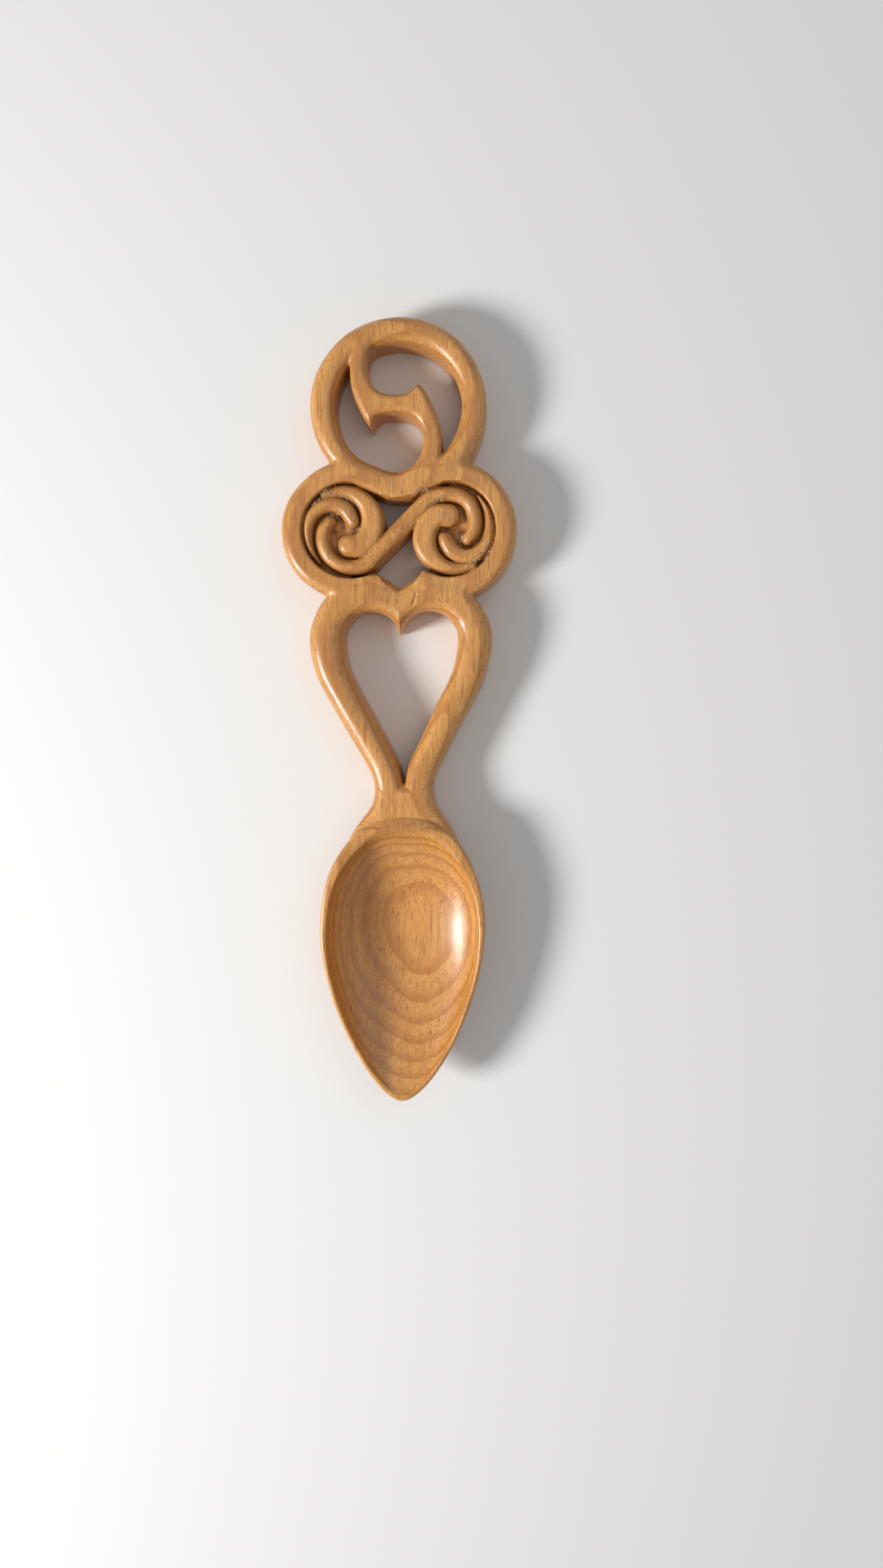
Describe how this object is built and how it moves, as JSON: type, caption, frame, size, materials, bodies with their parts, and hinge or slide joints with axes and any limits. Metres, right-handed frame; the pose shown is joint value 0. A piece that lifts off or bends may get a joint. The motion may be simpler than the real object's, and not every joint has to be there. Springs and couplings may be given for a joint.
{
  "type": "welsh love spoon",
  "caption": "Carved wooden love spoon: pointed oval bowl, open heart, panel of linked spirals and a ring with an S-shaped scroll.",
  "frame": {"origin": "middle of the bounding box, on the surface that the spoon lies on back down", "axes": "+Y up the spoon from the bowl to the ring, +Z out of its carved front, +X to the right seen from the front"},
  "size_m": [0.0606, 0.2, 0.014],
  "materials": {
    "handle_wood": "oiled cherry-brown hardwood, satin, grain along the spoon",
    "arm_wood": "the same wood, knife-finished crests",
    "groove_wood": "the same wood in the carved grooves, duller and darker",
    "bowl_wood": "the same wood, sanded, with nested growth rings in the hollow"
  },
  "bodies": {
    "root": {"ring": "handle_wood", "left_scroll": "arm_wood", "right_scroll": "arm_wood", "left_lobe_rim": "handle_wood", "right_lobe_rim": "handle_wood", "left_ground": "groove_wood", "right_ground": "groove_wood", "spiral_band": "arm_wood", "left_outer_arm": "arm_wood", "right_outer_arm": "arm_wood", "left_middle_arm": "arm_wood", "right_middle_arm": "arm_wood", "heart_crown": "handle_wood", "left_heart_side": "handle_wood", "right_heart_side": "handle_wood", "neck": "handle_wood", "bowl": "bowl_wood"}
  },
  "joints": []
}
